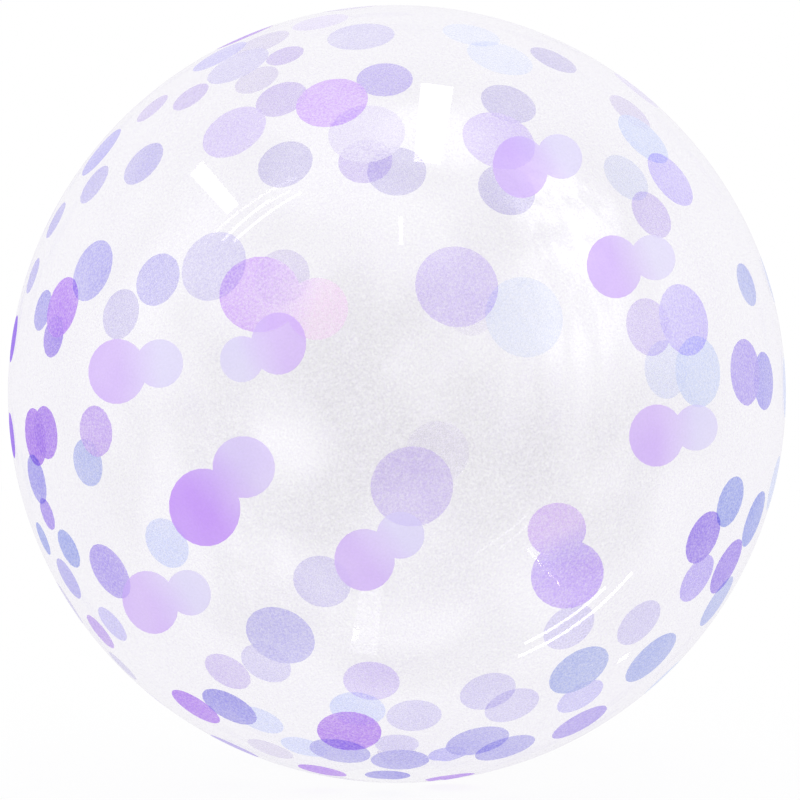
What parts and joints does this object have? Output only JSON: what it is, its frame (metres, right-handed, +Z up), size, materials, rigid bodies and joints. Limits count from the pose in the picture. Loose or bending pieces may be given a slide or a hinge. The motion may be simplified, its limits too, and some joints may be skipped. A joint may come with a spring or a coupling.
{
  "type": "clear bubble balloon",
  "caption": "Round clear film balloon printed with translucent confetti dots, resting on a small flat spot with its sealed tail folded under.",
  "frame": {"origin": "middle of the flat spot that the balloon rests on, at floor height", "axes": "+Z up through the bubble's centre, +Y towards the end of the folded tail, +X to the right seen from the side away from the tail"},
  "size_m": [0.56, 0.56, 0.5571],
  "materials": {
    "printed_film": "clear stretch film, high gloss, printed with translucent pastel dots"
  },
  "bodies": {
    "root": {"bubble": "printed_film"}
  },
  "joints": []
}
